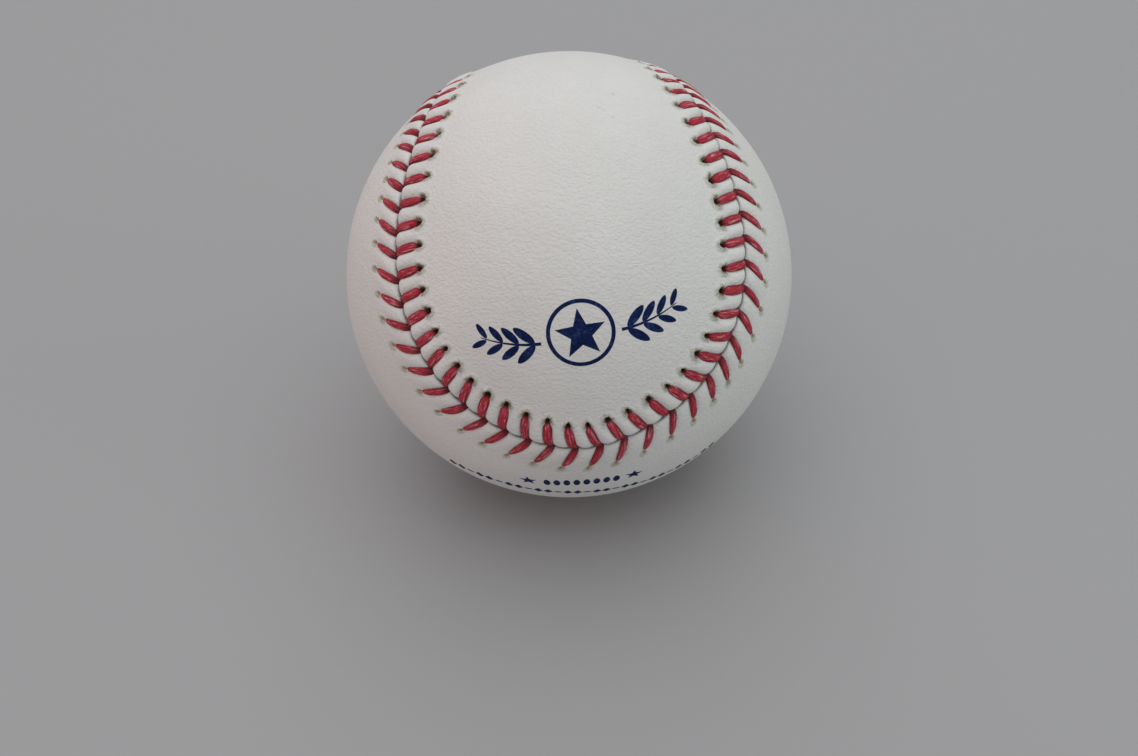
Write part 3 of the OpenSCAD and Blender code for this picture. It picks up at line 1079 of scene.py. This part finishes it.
yarns = {name: yarnMaterial(name) for name in yarn["kinds"]}
rubbers = {name: rubberMaterial(name) for name in rubber["kinds"]}
insides = {
    "cork_core": corkMaterial(),
    "black_rubber_upper": rubbers["blackRubber"],
    "black_rubber_lower": rubbers["blackRubber"],
    "rubber_washer": rubbers["redRubber"],
    "red_rubber_layer": rubbers["redRubber"],
    "grey_wool_inner": yarns["greyWool"],
    "white_wool_middle": yarns["whiteWool"],
    "grey_wool_outer": yarns["greyWool"],
    "cotton_finish": yarns["finishCotton"],
}
for name, material in insides.items():
    dress(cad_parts[name], material)
print("inner layers dressed")

# A pale floor under the ball, whose far part and backdrop show one even tone
floor = {
    "half": 3.0,
    "drop": 0.0004,
    "shader": {"Base Color": (0.435, 0.438, 0.45), "Roughness": 0.9, "Specular IOR Level": 0.1},
    "backdrop": (0.328, 0.332, 0.342),
    "fade": (0.30, 0.75),
}


def seenShare(tree):
    # 1 where the camera sees a surface, straight, in a gloss or through glass, and 0 for the light it sends
    path = tree.nodes.new("ShaderNodeLightPath")
    seen = maths(tree, "MAXIMUM", path.outputs["Is Camera Ray"], path.outputs["Is Glossy Ray"])
    return maths(tree, "MAXIMUM", seen, path.outputs["Is Transmission Ray"])


def mixShaders(tree, share, first, second, output):
    made = addNode(tree, "ShaderNodeMixShader", share, first.outputs[0], second.outputs[0])
    tree.links.new(made.outputs[0], tree.nodes[output].inputs["Surface"])


bm = bmesh.new()
bmesh.ops.create_grid(bm, x_segments=1, y_segments=1, size=floor["half"])
bmesh.ops.translate(bm, verts=bm.verts, vec=(0, 0, -ball["radius"] - floor["drop"]))
floorMesh = bpy.data.meshes.new("floor")
bm.to_mesh(floorMesh)
bm.free()
floorPiece = addObject("floor", floorMesh)
paleFloor, tree, shader = newMaterial("paleFloor")
setValues(tree, shader, **floor["shader"])
reach = addNode(tree, "ShaderNodeVectorMath", objectPlace(tree), operation="LENGTH").outputs["Value"]
farShare = times(tree, stepped(tree, reach, *floor["fade"]), seenShare(tree))
evenTone = addNode(tree, "ShaderNodeEmission", Color=floor["backdrop"])
mixShaders(tree, farShare, shader, evenTone, "Material Output")
floorMesh.materials.append(paleFloor)

# Soft light from above and a little from each side
lights = {
    "top": {"at": (0.0, 0.0, 0.8), "size": 1.1, "watts": 3.05, "colour": (1, 1, 1)},
    "back": {"at": (0.0, 0.8, 0.5), "size": 0.7, "watts": 0.95, "colour": (1, 1, 1)},
    "left": {"at": (-0.8, -0.25, 0.2), "size": 0.6, "watts": 0.785, "colour": (1.0, 0.41, 0.28)},
    "right": {"at": (0.8, -0.25, 0.2), "size": 0.6, "watts": 1.03, "colour": (0.87, 1.0, 0.91)},
}
for name, light in lights.items():
    lamp = bpy.data.lights.new(name, "AREA")
    lamp.size = light["size"]
    lamp.energy = light["watts"]
    lamp.color = light["colour"]
    holder = addObject(name, lamp)
    holder.location = light["at"]
    holder.rotation_euler = (-Vector(light["at"])).to_track_quat("-Z", "Y").to_euler()

studio = {"Color": (0.99, 1.0, 1.01), "Strength": 0.375}
world = bpy.data.worlds.new("studio")
world.use_nodes = True
scene.world = world
tree = world.node_tree
lit = tree.nodes["Background"]
setValues(tree, lit, **studio)
backdrop = addNode(tree, "ShaderNodeBackground", Color=floor["backdrop"])
mixShaders(tree, seenShare(tree), lit, backdrop, "World Output")
scene.view_settings.view_transform = "Standard"

# The camera stands where the photograph was taken: metres, degrees and a lens in millimetres
camera = {
    "at": (-5.214 * mm, -204.251 * mm, 154.827 * mm),
    "down": 40.979,
    "right": 1.209,
    "roll": -3.086,
    "lens": 48.011,
    "nearest": 0.01,
}
cameraData = bpy.data.cameras.new("camera")
cameraData.lens = camera["lens"]
cameraData.clip_start = camera["nearest"]
eye = addObject("camera", cameraData)
turn = (Matrix.Rotation(math.radians(-camera["right"]), 4, "Z")
        @ Matrix.Rotation(math.radians(90 - camera["down"]), 4, "X")
        @ Matrix.Rotation(math.radians(camera["roll"]), 4, "Z"))
eye.matrix_world = Matrix.Translation(camera["at"]) @ turn
scene.camera = eye
print("scene lit")
